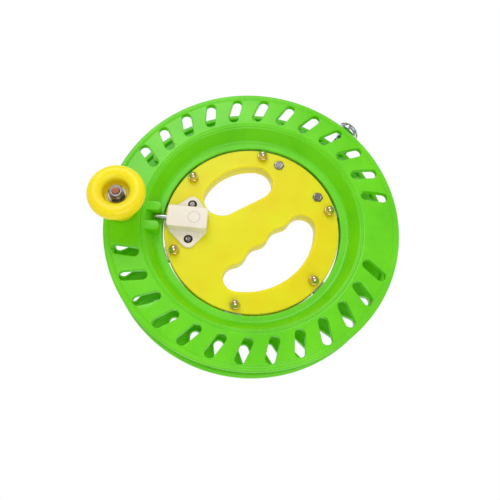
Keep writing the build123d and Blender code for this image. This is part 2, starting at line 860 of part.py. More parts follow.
with BuildPart() as guide_bracket:
    with BuildLine(guide_plane) as route:
        FilletPolyline(
            (pad_middle, rear_face - strap_wall / 2),
            (pad_end, rear_face - strap_wall / 2),
            (strap_foot, strap_level),
            (guide_reach, strap_level),
            (guide_reach, mid_height),
            radius=strap_bend,
        )
    with BuildSketch(Plane(origin=route.line @ 0, x_dir=guide_plane.z_dir, z_dir=route.line % 0)):
        Rectangle(strap_width, strap_wall)
    sweep()
    with BuildSketch(on(rear_face - strap_wall)) as pad:
        with Locations(*guide_bolt_points):
            Circle(pad_corner)
        with Locations(guide_turn):
            with Locations((pad_middle, 0)):
                Rectangle(pad_end - pad_middle, strap_width, align=(Align.MIN, Align.CENTER))
        make_hull()
    extrude(pad.sketch, amount=strap_wall)
    with BuildSketch(eye_plane.offset(-strap_wall / 2)) as tab:
        Circle(strap_width / 2)
    extrude(tab.sketch, amount=strap_wall)
    with BuildSketch(eye_plane.offset(-strap_wall / 2)) as eye:
        Circle(guide_waist_radius)
    extrude(eye.sketch, amount=strap_wall, mode=Mode.SUBTRACT)
    cylinders(
        guide_bolt_radius + bolt_clearance,
        rear_face - strap_wall,
        rear_face,
        guide_bolt_points,
        Mode.SUBTRACT,
    )
save(guide_bracket, "guide_bracket")

with BuildPart() as guide_ring:
    with BuildSketch(guide_plane) as ring_section:
        with Locations((guide_reach, mid_height + (guide_eye_radius + guide_ring_radius) / 2)):
            RectangleRounded(guide_ring_width, guide_ring_radius - guide_eye_radius, guide_ring_round)
        with Locations((guide_reach, mid_height + guide_waist_radius - guide_play)):
            Rectangle(
                strap_wall + 2 * guide_play,
                guide_ring_radius,
                align=(Align.CENTER, Align.MIN),
                mode=Mode.SUBTRACT,
            )
    revolve(ring_section.sketch, axis=Axis(eye_plane.origin, eye_plane.z_dir))
save(guide_ring, "guide_ring")

with BuildPart() as guide_bolts:
    cylinders(
        guide_head_radius,
        rear_face - strap_wall - guide_head_height,
        rear_face - strap_wall,
        guide_bolt_points,
    )
    fillet(guide_bolts.faces().filter_by(Plane.XY).group_by(Axis.Z)[0].edges(), guide_head_height / 3)
    cylinders(
        guide_bolt_radius,
        rear_face - strap_wall,
        guide_nut_seat + guide_nut_height,
        guide_bolt_points,
    )
save(guide_bolts, "guide_bolts")

with BuildPart() as guide_nuts:
    hexagons(guide_nut_across, guide_nut_seat, guide_nut_seat + guide_nut_height, guide_bolt_points)
    cylinders(
        guide_bolt_radius + bolt_slack,
        guide_nut_seat,
        guide_nut_seat + guide_nut_height,
        guide_bolt_points,
        Mode.SUBTRACT,
    )
save(guide_nuts, "guide_nuts")
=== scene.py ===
# %% [markdown]
# # Kite line winder
# A green wheel in two moulded half shells spins on ball bearings round a yellow hub that is held in one
# hand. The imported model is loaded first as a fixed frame. Every piece below shares its axes and rides on
# its bodies. Sizes are in millimetres unless a comment says otherwise, and MM turns them into the frame's
# metres.
# %% Load the frame
import bpy
import json
from math import radians, cos, sin, pi
from mathutils import Vector, Matrix

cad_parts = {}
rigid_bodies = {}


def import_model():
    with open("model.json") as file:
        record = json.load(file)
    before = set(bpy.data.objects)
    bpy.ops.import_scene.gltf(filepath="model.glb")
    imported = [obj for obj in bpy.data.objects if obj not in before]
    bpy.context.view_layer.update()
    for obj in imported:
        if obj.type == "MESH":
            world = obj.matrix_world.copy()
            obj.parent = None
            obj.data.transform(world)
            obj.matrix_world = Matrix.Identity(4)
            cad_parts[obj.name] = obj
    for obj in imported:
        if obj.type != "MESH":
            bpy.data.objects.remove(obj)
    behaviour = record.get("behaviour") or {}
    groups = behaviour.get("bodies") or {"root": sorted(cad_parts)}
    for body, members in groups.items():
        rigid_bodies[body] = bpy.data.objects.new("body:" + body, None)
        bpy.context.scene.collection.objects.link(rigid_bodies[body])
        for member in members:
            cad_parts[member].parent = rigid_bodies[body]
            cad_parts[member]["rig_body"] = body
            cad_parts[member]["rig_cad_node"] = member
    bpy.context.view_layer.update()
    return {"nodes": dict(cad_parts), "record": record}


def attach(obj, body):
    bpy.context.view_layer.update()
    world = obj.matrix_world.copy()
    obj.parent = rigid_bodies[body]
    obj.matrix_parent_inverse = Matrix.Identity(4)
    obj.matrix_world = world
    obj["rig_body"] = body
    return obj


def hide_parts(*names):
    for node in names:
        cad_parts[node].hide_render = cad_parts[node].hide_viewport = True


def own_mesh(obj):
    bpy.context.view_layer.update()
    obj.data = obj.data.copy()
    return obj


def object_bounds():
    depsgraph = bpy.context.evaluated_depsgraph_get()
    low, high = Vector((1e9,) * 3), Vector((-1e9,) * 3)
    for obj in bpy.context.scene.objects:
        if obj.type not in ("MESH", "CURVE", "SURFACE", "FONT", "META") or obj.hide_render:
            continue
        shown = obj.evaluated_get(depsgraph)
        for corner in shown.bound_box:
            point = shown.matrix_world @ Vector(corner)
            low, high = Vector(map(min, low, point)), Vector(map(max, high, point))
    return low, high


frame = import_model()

MM = 0.001
nodes = frame["nodes"]

# %% [markdown]
# ## Camera
# The photograph looks down on the wheel from in front, tilted by about twenty degrees, through a lens a
# little longer than normal. The camera's place and its two directions were found by fitting the wheel's
# circles.
# %% Camera
eye = Vector((-11.13, -169.92, 444.59)) * MM
ahead = Vector((0.0243, 0.3329, -0.9426)).normalized()
upward = Vector((-0.0987, 0.9391, 0.3291)).normalized()
across = ahead.cross(upward).normalized()
upward = across.cross(ahead)
bpy.ops.object.camera_add(location=eye)
camera = bpy.context.object
camera.rotation_euler = Matrix((across, upward, -ahead)).transposed().to_euler()
camera.data.lens = 43.92
camera.data.sensor_width = 36
camera.data.clip_start = 0.01
bpy.context.scene.camera = camera
print("camera at", tuple(round(v, 4) for v in eye))

# %% [markdown]
# ## Adding a node, and reading a colour
# All finishes are shader node trees. One helper adds a node with its settings and links, and one turns the
# sRGB hex value of a colour, as a colour picker shows it, into the linear numbers that a shader socket
# wants.
# %% Helpers for the finishes
def add(tree, kind, inputs=None, **settings):
    item = tree.nodes.new(kind)
    for name, value in settings.items():
        setattr(item, name, value)
    for name, value in (inputs or {}).items():
        if isinstance(value, bpy.types.NodeSocket):
            tree.links.new(value, item.inputs[name])
        else:
            item.inputs[name].default_value = value
    return item


def linear(hex_colour):
    parts = [int(hex_colour[i:i + 2], 16) / 255 for i in (1, 3, 5)]
    return tuple(c / 12.92 if c <= 0.04045 else ((c + 0.055) / 1.055) ** 2.4 for c in parts) + (1.0,)


def new_finish(name):
    finish = bpy.data.materials.new(name)
    finish.use_nodes = True
    finish.node_tree.nodes.clear()
    return finish, finish.node_tree


print("lime in linear numbers", linear("#6FDC0C"))

# %% [markdown]
# ## Moulded plastic
# The wheel, hub, knob and lock are injection-moulded ABS. A polished mould leaves it glossy, with a faint
# orange peel a few millimetres wide and soft clouding where the melt flowed. Three noise patterns give
# that: a wide one for the clouding, a middle one for the peel and a fine one, drawn coarser than real, for
# handling scuffs in the gloss. Light also enters the plastic a little: furthest in red and green, and
# hardly in blue.
# %% Moulded ABS
cloud_size, peel_size, scuff_size = 30 * MM, 3.5 * MM, 0.8 * MM
peel_height, scuff_height = 0.06 * MM, 0.03 * MM
plastic_index = 1.53
plastic_depth = (4 * MM, 3 * MM, 0.6 * MM)


def moulded_abs(name, colour, shade, roughness=0.28, depth=0.10, reach=1.0, gleam=0.38):
    finish, tree = new_finish(name)
    place = add(tree, "ShaderNodeTexCoord").outputs["Object"]
    cloud = add(tree, "ShaderNodeTexNoise", {"Vector": place, "Scale": 1 / cloud_size, "Detail": 3.0})
    tint = add(tree, "ShaderNodeMix", {
        "Factor": add(tree, "ShaderNodeMapRange", {
            "Value": cloud.outputs["Fac"], "From Min": 0.35, "From Max": 0.70}).outputs["Result"],
        "A": linear(colour), "B": linear(shade)}, data_type="RGBA")
    wave = add(tree, "ShaderNodeTexNoise", {"Vector": place, "Scale": 1 / peel_size, "Detail": 1.0})
    scuff = add(tree, "ShaderNodeTexNoise", {
        "Vector": place, "Scale": 1 / scuff_size, "Detail": 4.0, "Roughness": 0.6})
    gloss = add(tree, "ShaderNodeMapRange", {
        "Value": scuff.outputs["Fac"], "From Min": 0.3, "From Max": 0.75,
        "To Min": roughness - 0.04, "To Max": roughness + 0.07})
    dimple = add(tree, "ShaderNodeBump", {
        "Height": wave.outputs["Fac"], "Strength": 0.35, "Distance": peel_height})
    grain = add(tree, "ShaderNodeBump", {
        "Height": scuff.outputs["Fac"], "Normal": dimple.outputs["Normal"],
        "Strength": 0.12, "Distance": scuff_height})
    skin = add(tree, "ShaderNodeBsdfPrincipled", {
        "Base Color": tint.outputs["Result"], "Roughness": gloss.outputs["Result"],
        "Normal": grain.outputs["Normal"], "IOR": plastic_index, "Specular IOR Level": gleam,
        "Subsurface Weight": depth, "Subsurface Radius": plastic_depth, "Subsurface Scale": reach})
    add(tree, "ShaderNodeOutputMaterial", {"Surface": skin.outputs["BSDF"]})
    return finish


lime_abs = moulded_abs("abs_lime_moulded", "#6FDC0C", "#62D006")
lemon_abs = moulded_abs("abs_lemon_moulded", "#F7EA14", "#F8DC0C", 0.32, depth=0.45, reach=1.8, gleam=0.24)
amber_abs = moulded_abs(
    "abs_warm_yellow_moulded", "#FBE61C", "#F8DA12", 0.26, depth=0.65, reach=2.6, gleam=0.30)
cream_abs = moulded_abs("abs_cream_moulded", "#F2E9D9", "#EBDFCC", 0.36, depth=0.20)
acetal_white = moulded_abs("acetal_white_moulded", "#EDEDEA", "#E4E4E0", 0.40)
print("plastics", lime_abs.name, lemon_abs.name, amber_abs.name, cream_abs.name)

# %% [markdown]
# ## Metal
# The hub's bolts, the screws and the knob's base washer are steel with bright zinc, the dome nuts have a
# gold-toned plating, the knob's nut and washer and the guide's nuts and bolts are dull nickel, the knob's
# bolt is copper-toned and the guide is polished chrome. The lock's screw heads are painted dark: painted
# shade that stands for the shadow in their counterbores. All are full metals, so their colour is in the
# reflection. Fine drawn scratches and a slow change in gloss keep them from looking like mirrors.
# %% Plated metal
haze_size, scratch_size, scratch_height = 4 * MM, 1.2 * MM, 0.03 * MM
scratch_stretch = (1.0, 1.0, 9.0)


def plated_metal(name, colour, shade, roughness, scratch=0.10):
    finish, tree = new_finish(name)
    place = add(tree, "ShaderNodeTexCoord").outputs["Object"]
    haze = add(tree, "ShaderNodeTexNoise", {"Vector": place, "Scale": 1 / haze_size, "Detail": 3.0})
    tint = add(tree, "ShaderNodeMix", {
        "Factor": haze.outputs["Fac"], "A": linear(colour), "B": linear(shade)}, data_type="RGBA")
    stretch = add(tree, "ShaderNodeMapping", {"Vector": place, "Scale": scratch_stretch})
    lines = add(tree, "ShaderNodeTexNoise", {
        "Vector": stretch.outputs["Vector"], "Scale": 1 / scratch_size, "Detail": 2.0})
    gloss = add(tree, "ShaderNodeMapRange", {
        "Value": haze.outputs["Fac"], "From Min": 0.3, "From Max": 0.7,
        "To Min": roughness * 0.8, "To Max": roughness * 1.3})
    drawn = add(tree, "ShaderNodeBump", {
        "Height": lines.outputs["Fac"], "Strength": scratch, "Distance": scratch_height})
    skin = add(tree, "ShaderNodeBsdfPrincipled", {
        "Base Color": tint.outputs["Result"], "Roughness": gloss.outputs["Result"],
        "Normal": drawn.outputs["Normal"], "Metallic": 1.0})
    add(tree, "ShaderNodeOutputMaterial", {"Surface": skin.outputs["BSDF"]})
    return finish


zinc_steel = plated_metal("steel_bright_zinc", "#C6C8CB", "#AEB0B4", 0.22)
gold_plate = plated_metal("steel_gold_plated", "#F0DDB2", "#D8BC84", 0.14)
nickel_steel = plated_metal("steel_dull_nickel", "#95928D", "#7C7873", 0.24)
# Painted shade: the lock's screw heads are made dark to stand for the shadow in the counterbores they sit
# in.
counterbore_shade_steel = plated_metal("steel_painted_counterbore_shade", "#4A443E", "#35302C", 0.26)
ground_steel = plated_metal("steel_ground", "#D3D5D8", "#C2C4C8", 0.14)
chrome_plate = plated_metal("steel_chromed", "#DDE0E4", "#CDD0D5", 0.08, 0.04)
copper_plate = plated_metal("steel_copper_toned", "#8E5E4B", "#74483A", 0.30)
drawn_wire = plated_metal("steel_drawn_wire", "#A9ABAF", "#93959A", 0.30)
print("metals", zinc_steel.name, gold_plate.name, chrome_plate.name)

# %% [markdown]
# ## Which piece has which finish
# Each node of the frame gets its finish first, and a piece that stands for a node takes over that node's
# finish.
# %% Finish of each node
finish_of = {
    "front_shell": lime_abs, "rear_shell": lime_abs, "rim_screws": zinc_steel,
    "front_disc": lemon_abs, "rear_disc": lemon_abs, "hub_bolts": zinc_steel, "acorn_nuts": gold_plate,
    "bearing_inner_rings": ground_steel, "bearing_balls": ground_steel,
    "knob": amber_abs, "knob_bolt": copper_plate, "knob_base_washer": zinc_steel,
    "knob_washer": nickel_steel, "knob_nut": nickel_steel,
    "lock_housing": cream_abs, "lock_button": cream_abs, "lock_slider": acetal_white,
    "lock_pin": zinc_steel, "lock_spring": drawn_wire, "lock_screws": counterbore_shade_steel,
    "guide_bracket": chrome_plate, "guide_ring": chrome_plate,
    "guide_bolts": nickel_steel, "guide_nuts": nickel_steel,
}
for number in range(1, 7):
    finish_of[f"bearing_{number}_outer_ring"] = ground_steel
    finish_of[f"bearing_{number}_shields"] = zinc_steel


def coat(piece, finish):
    piece.data.materials.clear()
    piece.data.materials.append(finish)


for name, finish in finish_of.items():
    coat(nodes[name], finish)
print("finished", len(finish_of), "of", len(nodes))

# %% [markdown]
# ## Tools for turned shapes
# Most pieces are round about some axis, so they are made as a potter would: a half outline is drawn by
# extruding one vertex from corner to corner, and then spun round the axis. A real edge is never sharp, so
# every corner of the outline is given as (radius, height, rounding), and a helper replaces it by a short
# arc.
# %% Outline, spin and small helpers
def rounded(corners, steps=4):
    path = []
    count = len(corners)
    for i, (x, y, size) in enumerate(corners):
        here = Vector((x, y))
        if size <= 0:
            path.append(here)
            continue
        to_last = (Vector(corners[i - 1][:2]) - here).normalized()
        to_next = (Vector(corners[(i + 1) % count][:2]) - here).normalized()
        half = to_last.angle(to_next) / 2
        reach = size / max(1e-9, abs(sin(half)) / abs(cos(half)))
        middle = here + (to_last + to_next).normalized() * (size / sin(half))
        a, b = here + to_last * reach - middle, here + to_next * reach - middle
        for k in range(steps + 1):
            t = k / steps
            path.append(middle + (a * (1 - t) + b * t).normalized() * size)
    return path


def only(*pieces):
    bpy.ops.object.select_all(action="DESELECT")
    for piece in pieces:
        piece.select_set(True)
    bpy.context.view_layer.objects.active = pieces[0]


def apply(piece, kind, **settings):
    only(piece)
    item = piece.modifiers.new(kind.lower(), kind)
    for name, value in settings.items():
        setattr(item, name, value)
    bpy.ops.object.modifier_apply(modifier=item.name)
    return piece


def pick(piece, test, kind="verts"):
    """In edit mode: selects the vertices, edges or faces that pass the test, and nothing else."""
    bpy.ops.mesh.select_mode(type={"verts": "VERT", "edges": "EDGE", "faces": "FACE"}[kind])
    bpy.ops.mesh.select_all(action="DESELECT")
    bpy.ops.object.mode_set(mode="OBJECT")
    mesh = piece.data
    for item in {"verts": mesh.vertices, "edges": mesh.edges, "faces": mesh.polygons}[kind]:
        item.select = test(item)
    bpy.ops.object.mode_set(mode="EDIT")


def fresh(name):
    piece = bpy.context.object
    piece.name = name
    return piece


def settle(piece):
    only(piece)
    bpy.ops.object.transform_apply(location=True, rotation=True, scale=True)
    return piece


def turned(name, path, steps, centre=(0, 0, 0), closed=True):
    """Spins a half outline in millimetres, (radius, height), about the upright axis through the centre."""
    bpy.ops.object.select_all(action="DESELECT")
    bpy.ops.mesh.primitive_plane_add(size=0.001, location=(0, 0, 0))
    piece = fresh(name)
    bpy.ops.object.mode_set(mode="EDIT")
    bpy.ops.mesh.select_mode(type="VERT")
    bpy.ops.mesh.select_all(action="SELECT")
    bpy.ops.mesh.merge(type="CENTER")
    spot = Vector((0, 0, 0))
    first = Vector((path[0][0] * MM, 0, path[0][1] * MM))
    bpy.ops.transform.translate(value=first - spot)
    spot = first
    stations = list(path[1:]) + ([path[0]] if closed else [])
    for x, y in stations:
        step = Vector((x * MM, 0, y * MM)) - spot
        bpy.ops.mesh.extrude_region_move(TRANSFORM_OT_translate={"value": step})
        spot = spot + step
    bpy.ops.mesh.select_all(action="SELECT")
    bpy.ops.mesh.spin(steps=steps, angle=2 * pi, center=(0, 0, 0), axis=(0, 0, 1))
    bpy.ops.mesh.select_all(action="SELECT")
    bpy.ops.mesh.remove_doubles(threshold=0.000001)
    bpy.ops.mesh.normals_make_consistent(inside=False)
    bpy.ops.object.mode_set(mode="OBJECT")
    piece.location = Vector(centre) * MM
    return settle(piece)


print("a half outline has", len(rounded([(1, 0, 0), (2, 0, 0.2), (2, 1, 0.2), (1, 1, 0)])), "points per bar")

# %% [markdown]
# ## Cuts, places and copies
# A tool is used up by its cut. Repeated pieces are modelled once, at the origin, and copied to their
# places.
# %% Cuts and copies
def cut(piece, tool, operation="DIFFERENCE"):
    """Cuts the tool from the piece, or joins them, and removes the tool."""
    apply(piece, "BOOLEAN", operation=operation, object=tool, solver="EXACT")
    bpy.data.objects.remove(tool)
    return piece


def around(radius, angles, height=0.0):
    """Places (x, y, height) on a circle about the wheel's axis, at angles in degrees."""
    return [(radius * cos(radians(a)), radius * sin(radians(a)), height) for a in angles]


def copies(master, places, name):
    """Copies of a piece, each with its own mesh, moved to its place and joined as one piece."""
    made = []
    for place in places:
        item = master.copy()
        item.data = master.data.copy()
        bpy.context.scene.collection.objects.link(item)
        item.location = Vector(place) * MM
        made.append(item)
    bpy.data.objects.remove(master)
    for item in made:
        settle(item)
    only(*made)
    if len(made) > 1:
        bpy.ops.object.join()
    return fresh(name)


def smooth(piece, angle=35):
    only(piece)
    bpy.ops.object.shade_smooth_by_angle(angle=radians(angle))
    return piece


print("wheel points at 0 and 90 degrees", around(1.0, (0, 90)))

# %% [markdown]
# ## Standing in for a node
# The imported record says which body each node belongs to. A new piece that takes a node's place rides on
# that body, and takes the node's finish from the table of finishes.
# %% Standing in
body_of_node = {
    name: body for body, members in frame["record"]["behaviour"]["bodies"].items() for name in members}


def stand_in(piece, name, finish=None):
    """The piece rides with the node's body, stands for the node and takes its finish."""
    coat(piece, finish or finish_of[name])
    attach(piece, body_of_node[name])
    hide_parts(name)
    return piece


# %% [markdown]
# ## The wheel's half shells
# Each half is one moulding: a flat ring inside, a funnel wall, a flat flange and a rolled lip. The bead
# round the mouth and the lip are set off by shallow grooves that catch the light as bright lines. One
# outline gives both halves, the rear one upside down. It is spun in fine steps, so that the gloss runs
# smoothly round it. Radii are from the wheel's axis, and heights from the plane between the halves, which
# lies at height mid.
# %% Outline of a half shell
mid = 8.0
race, ring_in, throat, mouth, lip_in, rim = 69.4, 68.0, 73.7, 80.4, 105.5, 110.0
race_height, ring_face = 2.9, 5.5
flange, flange_under, lip_under = 17.4, 15.2, 12.65
drum, drum_top, mouth_under = 76.8, 6.52, 81.69
lip_round = 1.9
shell_steps = 240


def shell_outline(side):
    corners = [
        (race, 0, 0), (race, race_height, 0), (ring_in, race_height, 0.3),
        (ring_in, ring_face, 0.6), (throat + 0.2, ring_face, 3.4),
        (mouth, flange + 0.35, 1.8), (mouth + 0.9, flange - 0.1, 0.4), (mouth + 1.8, flange + 0.5, 0.4),
        (mouth + 2.7, flange - 0.4, 0.4), (mouth + 3.6, flange, 0.4),
        (lip_in - 0.9, flange, 0.3), (lip_in - 0.1, flange - 0.5, 0.3), (lip_in + 0.8, flange + 0.25, 0.4),
        (lip_in + 1.6, flange - 0.1, 0.5), (rim, flange + 0.25, lip_round),
        (rim, lip_under, lip_round), (lip_in, lip_under, 1.6), (lip_in, flange_under, 0.3),
        (mouth_under, flange_under, 1.4), (drum, drum_top, 0.6), (drum, 0, 0),
    ]
    return [(x, mid + side * y) for x, y in rounded(corners)]


front = turned("front_half", shell_outline(1), shell_steps)
rear = turned("rear_half", shell_outline(-1), shell_steps)
print("half shell faces", len(front.data.polygons), len(rear.data.polygons))

# %% [markdown]
# ## Slots with rounded mouths
# Twenty-five leaning slots lighten each flange. Behind the flange each slot is stiffened by a moulded
# collar as deep as the rolled lip, so its wall looks deep from the front. The collar and the cutting tool
# are the same long round shape. The tool's top flares in a quarter circle, which leaves the small round
# that the mould has there. The slots stand twelve degrees apart in two runs, with a wider gap before and
# after each run. The rear flange has the same slots, mirrored.
# %% Slot tools
slot_long, slot_wide, slot_ring, slot_lean = 20.2, 7.5, 95.4, 21.9
slot_half = (slot_long - slot_wide) / 2 * MM
slot_pitch, first_run, second_run = 12, 19.06, 199.06
rear_turn = 172.06
collar_wall, collar_low, collar_high = 1.2, lip_under + 0.1, flange_under + 1.0
cutter_low, mouth_round = 11.0, 0.7
hair = 1e-6


def long_round(name, width, low, high):
    """A prism with a long round outline, lying along X, between two heights in millimetres."""
    bpy.ops.object.select_all(action="DESELECT")
    bpy.ops.mesh.primitive_cylinder_add(
        vertices=32, radius=width / 2 * MM, depth=(high - low) * MM, location=(0, 0, (low + high) / 2 * MM))
    piece = settle(fresh(name))
    bpy.ops.object.mode_set(mode="EDIT")
    for way in (1, -1):
        pick(piece, lambda v: v.co.x * way > hair)
        bpy.ops.transform.translate(value=(way * slot_half, 0, 0))
    bpy.ops.object.mode_set(mode="OBJECT")
    return piece


def slot_cutter(low, top, size, steps=4):
    """A slot's tool up to the flange's face, whose last stretch flares by the size of the mouth's round."""
    piece = long_round("slot_cutter", slot_wide, low, top - size)
    level, width = (top - size) * MM, slot_wide / 2
    bpy.ops.object.mode_set(mode="EDIT")
    for k in range(1, steps + 1):
        turn = k / steps * pi / 2
        rise = size * MM * (sin(turn) - sin(turn - pi / 2 / steps))
        wider = slot_wide / 2 + size * (1 - cos(turn))
        pick(piece, lambda f: f.normal.z > 0.9, "faces")
        bpy.ops.mesh.extrude_region_move(TRANSFORM_OT_translate={"value": (0, 0, rise)})
        level += rise
        for way in (1, -1):
            pick(piece, lambda v: v.co.x * way > hair and v.co.z > level - hair)
            bpy.ops.transform.resize(
                value=(wider / width, wider / width, 1), center_override=(way * slot_half, 0, level))
        pick(piece, lambda v: abs(v.co.x) < hair and v.co.z > level - hair)
        bpy.ops.transform.resize(value=(1, wider / width, 1), center_override=(0, 0, level))
        width = wider
    pick(piece, lambda f: f.normal.z > 0.9, "faces")
    bpy.ops.mesh.extrude_region_move(TRANSFORM_OT_translate={"value": (0, 0, 1.5 * MM)})
    bpy.ops.object.mode_set(mode="OBJECT")
    return piece


def round_the_flange(master, side, angles, name):
    """Copies a slot tool to every slot of one flange; side is 1 for the front and -1 for the rear."""
    tools = []
    for angle in angles:
        tool = master.copy()
        tool.data = master.data.copy()
        bpy.context.scene.collection.objects.link(tool)
        a = radians(angle)
        tool.rotation_euler = (0 if side > 0 else pi, 0, a - side * radians(slot_lean))
        tool.location = (slot_ring * MM * cos(a), slot_ring * MM * sin(a), mid * MM)
        tools.append(settle(tool))
    bpy.data.objects.remove(master)
    only(*tools)
    bpy.ops.object.join()
    return fresh(name)


front_angles = [first_run + slot_pitch * k for k in range(12)]
front_angles += [second_run + slot_pitch * k for k in range(13)]
rear_angles = [rear_turn - angle for angle in front_angles]
for piece, side, angles in ((front, 1, front_angles), (rear, -1, rear_angles)):
    one_collar = long_round("collar", slot_wide + 2 * collar_wall, collar_low, collar_high)
    cut(piece, round_the_flange(one_collar, side, angles, "collars"), "UNION")
    one_slot = slot_cutter(cutter_low, flange, mouth_round)
    cut(piece, round_the_flange(one_slot, side, angles, "slot_tools"))
print("slots in each flange", len(front_angles), "faces", len(front.data.polygons), len(rear.data.polygons))

# %% [markdown]
# ## Catch and boss on the front half
# Two tongues reach from the funnel's mouth over the ring, and the lock's pin stands between them. Each is a
# block whose outer end leans with the funnel wall, with rounded tips and softened top edges, joined to the
# shell. A low round boss carries the crank knob. It is turned by half a step, so that none of its edges
# falls on an edge of the shell and the two always join cleanly.
# %% Prongs and boss
prong_size = (12.0, 7.0, 12.5)
prong_ring, prong_top, prong_turn, prong_offset = 75.0, 17.0, 181.4, 7.7
prong_lean, prong_tip, prong_edge = 6.5, 3.2, 0.35
knob_at = (-96.8, 0, 0)
boss_bore, boss_radius, boss_low, boss_top, boss_edge = 3.1, 8.6, 23.4, 25.65, 0.4
boss_steps = 48


def prong(offset):
    """A tongue beside the lock's pin, moved along the rim by the offset."""
    bpy.ops.object.select_all(action="DESELECT")
    bpy.ops.mesh.primitive_cube_add(size=MM, location=(0, 0, 0))
    piece = fresh("prong")
    piece.scale = prong_size
    settle(piece)

    def spot(i):
        return piece.data.vertices[i].co

    bpy.ops.object.mode_set(mode="EDIT")
    pick(piece, lambda v: v.co.x > 0 and v.co.z < 0)
    bpy.ops.transform.translate(value=(-prong_lean * MM, 0, 0))
    tip, top = -(prong_size[0] / 2 - 1) * MM, (prong_size[2] / 2 - 0.05) * MM
    pick(piece, lambda e: all(spot(i).x < tip for i in e.vertices)
         and abs(spot(e.vertices[0]).z - spot(e.vertices[1]).z) > MM, "edges")
    bpy.ops.mesh.bevel(offset=prong_tip * MM, segments=7)
    pick(piece, lambda e: all(spot(i).z > top for i in e.vertices), "edges")
    bpy.ops.mesh.bevel(offset=prong_edge * MM, segments=3)
    bpy.ops.object.mode_set(mode="OBJECT")
    piece.location = (prong_ring * MM, offset * MM, (mid + prong_top - prong_size[2] / 2) * MM)
    settle(piece)
    piece.rotation_euler = (0, 0, radians(prong_turn))
    return settle(piece)


for offset in (prong_offset, -prong_offset):
    cut(front, prong(offset), "UNION")
boss_outline = rounded([
    (boss_bore, boss_low, 0), (boss_radius, boss_low, 0),
    (boss_radius, boss_top, boss_edge), (boss_bore, boss_top, 0)])
boss = turned("boss", boss_outline, boss_steps)
boss.rotation_euler = (0, 0, pi / boss_steps)
boss.location = Vector(knob_at) * MM
cut(front, settle(boss), "UNION")
print("front half with prongs and boss", len(front.data.polygons))

# %% [markdown]
# ## Screw wells of the rear half
# Ten screws come in from the back, inside the drum, and hold the two halves together. Each sits in a round
# well.
# %% Screw wells
screw_ring, screw_angles = 73.3, [18 + 36 * k for k in range(10)]
well_radius, well_deep, well_floor = 2.25, 15.0, 5.0
wells = []
for place in around(screw_ring, screw_angles, well_floor - well_deep / 2):
    bpy.ops.object.select_all(action="DESELECT")
    bpy.ops.mesh.primitive_cylinder_add(
        vertices=28, radius=well_radius * MM, depth=well_deep * MM, location=Vector(place) * MM)
    wells.append(settle(fresh("well")))
only(*wells)
bpy.ops.object.join()
cut(rear, fresh("wells"))
for piece, name in ((front, "front_shell"), (rear, "rear_shell")):
    smooth(stand_in(piece, name), 40)
print("rear half", len(rear.data.polygons))

# %% [markdown]
# ## The crank knob
# The knob is turned in one go: a narrow foot, a flank that widens like a trumpet, a full round shoulder and
# a deep recess whose edge rolls in softly. The flank follows a power curve, the shoulder is a quarter
# circle and the recess's edge a quarter of an ellipse.
# %% Knob
knob_bore, foot, foot_low, foot_high = 3.06, 10.3, 26.35, 28.9
flank_gain, flank_power = 0.055, 1.621
flank_heights = (foot_high, 30, 31.5, 33.5, 36, 39, 42, 45, 48, 50.5, 52.3)
shoulder_at, shoulder_size, shoulder_height = 15.1, 5.2, 55.25
widest, bulge_in, bulge_low, bulge_rise = 20.3, 0.75, 53.2, 0.9
recess, recess_top, recess_floor, recess_roll, recess_rise = 9.2, 56.7, 50.85, 5.9, 3.75


def knob_outline():
    quarter = [pi / 2 * k / 12 for k in range(13)]
    path = rounded([(knob_bore, foot_low, 0), (foot, foot_low, 0.8), (foot, foot_high, 0)])[:-1]
    path += [Vector((foot + flank_gain * (z - foot_high) ** flank_power, z)) for z in flank_heights]
    path += [Vector((widest - bulge_in * (1 - sin(t)) ** 2, bulge_low + bulge_rise * sin(t)))
             for t in (0.35, 0.9, pi / 2)]
    path += [Vector((shoulder_at + shoulder_size * cos(t), shoulder_height + shoulder_size * sin(t)))
             for t in quarter]
    path += [Vector((shoulder_at - recess_roll * sin(t), recess_top + recess_rise * cos(t)))
             for t in [pi / 2 * k / 10 for k in range(1, 11)]]
    path += rounded([(recess, recess_top, 0), (recess, recess_floor, 0.8), (knob_bore, recess_floor, 0)])[1:]
    return path


grip = smooth(stand_in(turned("crank_knob", knob_outline(), 96, knob_at), "knob"), 40)
print("knob faces", len(grip.data.polygons))

# %% [markdown]
# ## Nuts and bolts
# A dome nut is a bevelled hexagon with a turned dome on it. A pan head is turned and then cut with a cross
# by two thin bars. Each is modelled once and copied to its places. The six hub bolts stand about sixty
# degrees apart, and their angles are counted from the line guide's direction.
# %% Fasteners
def hexagon(across, low, high, bore=0.0):
    """A six-sided nut whose corners are turned off at the top, with a bore if one is given."""
    bpy.ops.object.select_all(action="DESELECT")
    bpy.ops.mesh.primitive_cylinder_add(
        vertices=6, radius=across / 2 / cos(pi / 6) * MM, depth=(high - low) * MM,
        location=(0, 0, (low + high) / 2 * MM), rotation=(0, 0, pi / 6))
    piece = settle(fresh("hexagon"))
    wide, flat = across / 2 + 0.9, across / 2 - 0.1
    path = [
        (bore, low - 0.1), (wide, low - 0.1), (wide, high - 0.75),
        (flat, high), (flat, high + 0.1), (bore, high + 0.1)]
    cut(piece, turned("chamfer", path, 48, closed=bore > 0), "INTERSECT")
    return apply(piece, "BEVEL", width=0.2 * MM, segments=2, limit_method="ANGLE", angle_limit=radians(28))


def dome_nut(across=7.0, height=3.4, dome=3.25, dome_low=2.9, dome_start=4.6):
    base = hexagon(across, 0, height)
    dome_path = [(0, dome_low), (dome, dome_low), (dome, dome_start)]
    dome_path += [(dome * cos(t), dome_start + dome * sin(t)) for t in [pi / 2 * k / 8 for k in range(1, 9)]]
    return cut(base, turned("dome", dome_path, 32, closed=False), "UNION")


